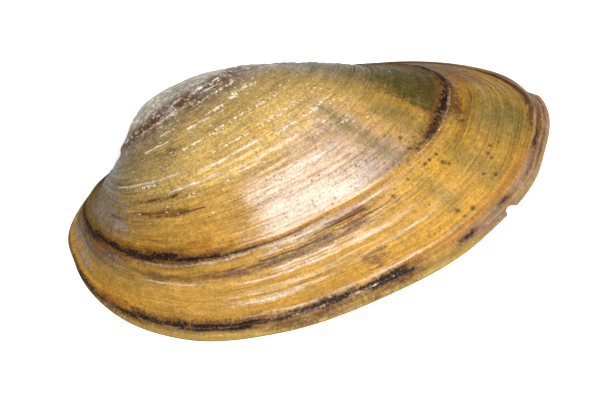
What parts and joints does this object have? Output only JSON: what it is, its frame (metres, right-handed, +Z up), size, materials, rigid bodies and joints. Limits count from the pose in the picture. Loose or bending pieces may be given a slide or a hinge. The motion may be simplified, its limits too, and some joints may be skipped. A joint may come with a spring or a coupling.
{
  "type": "freshwater river mussel shell valve",
  "caption": "One valve of a long oval river mussel shell, domed and hollow, with growth ledges outside and a hinge shelf with teeth inside; rests open side down.",
  "frame": {"origin": "on the plane that the margin rests on, under the middle of the shell's length and width", "axes": "+X along the shell's length to its rear end, +Y to the hinge side, +Z up out of the domed outside"},
  "size_m": [0.084, 0.0474, 0.0169],
  "materials": {
    "shell": "satin golden brown skin with dark growth rings outside, pearly white inside"
  },
  "bodies": {
    "root": {"valve": "shell"}
  },
  "joints": []
}
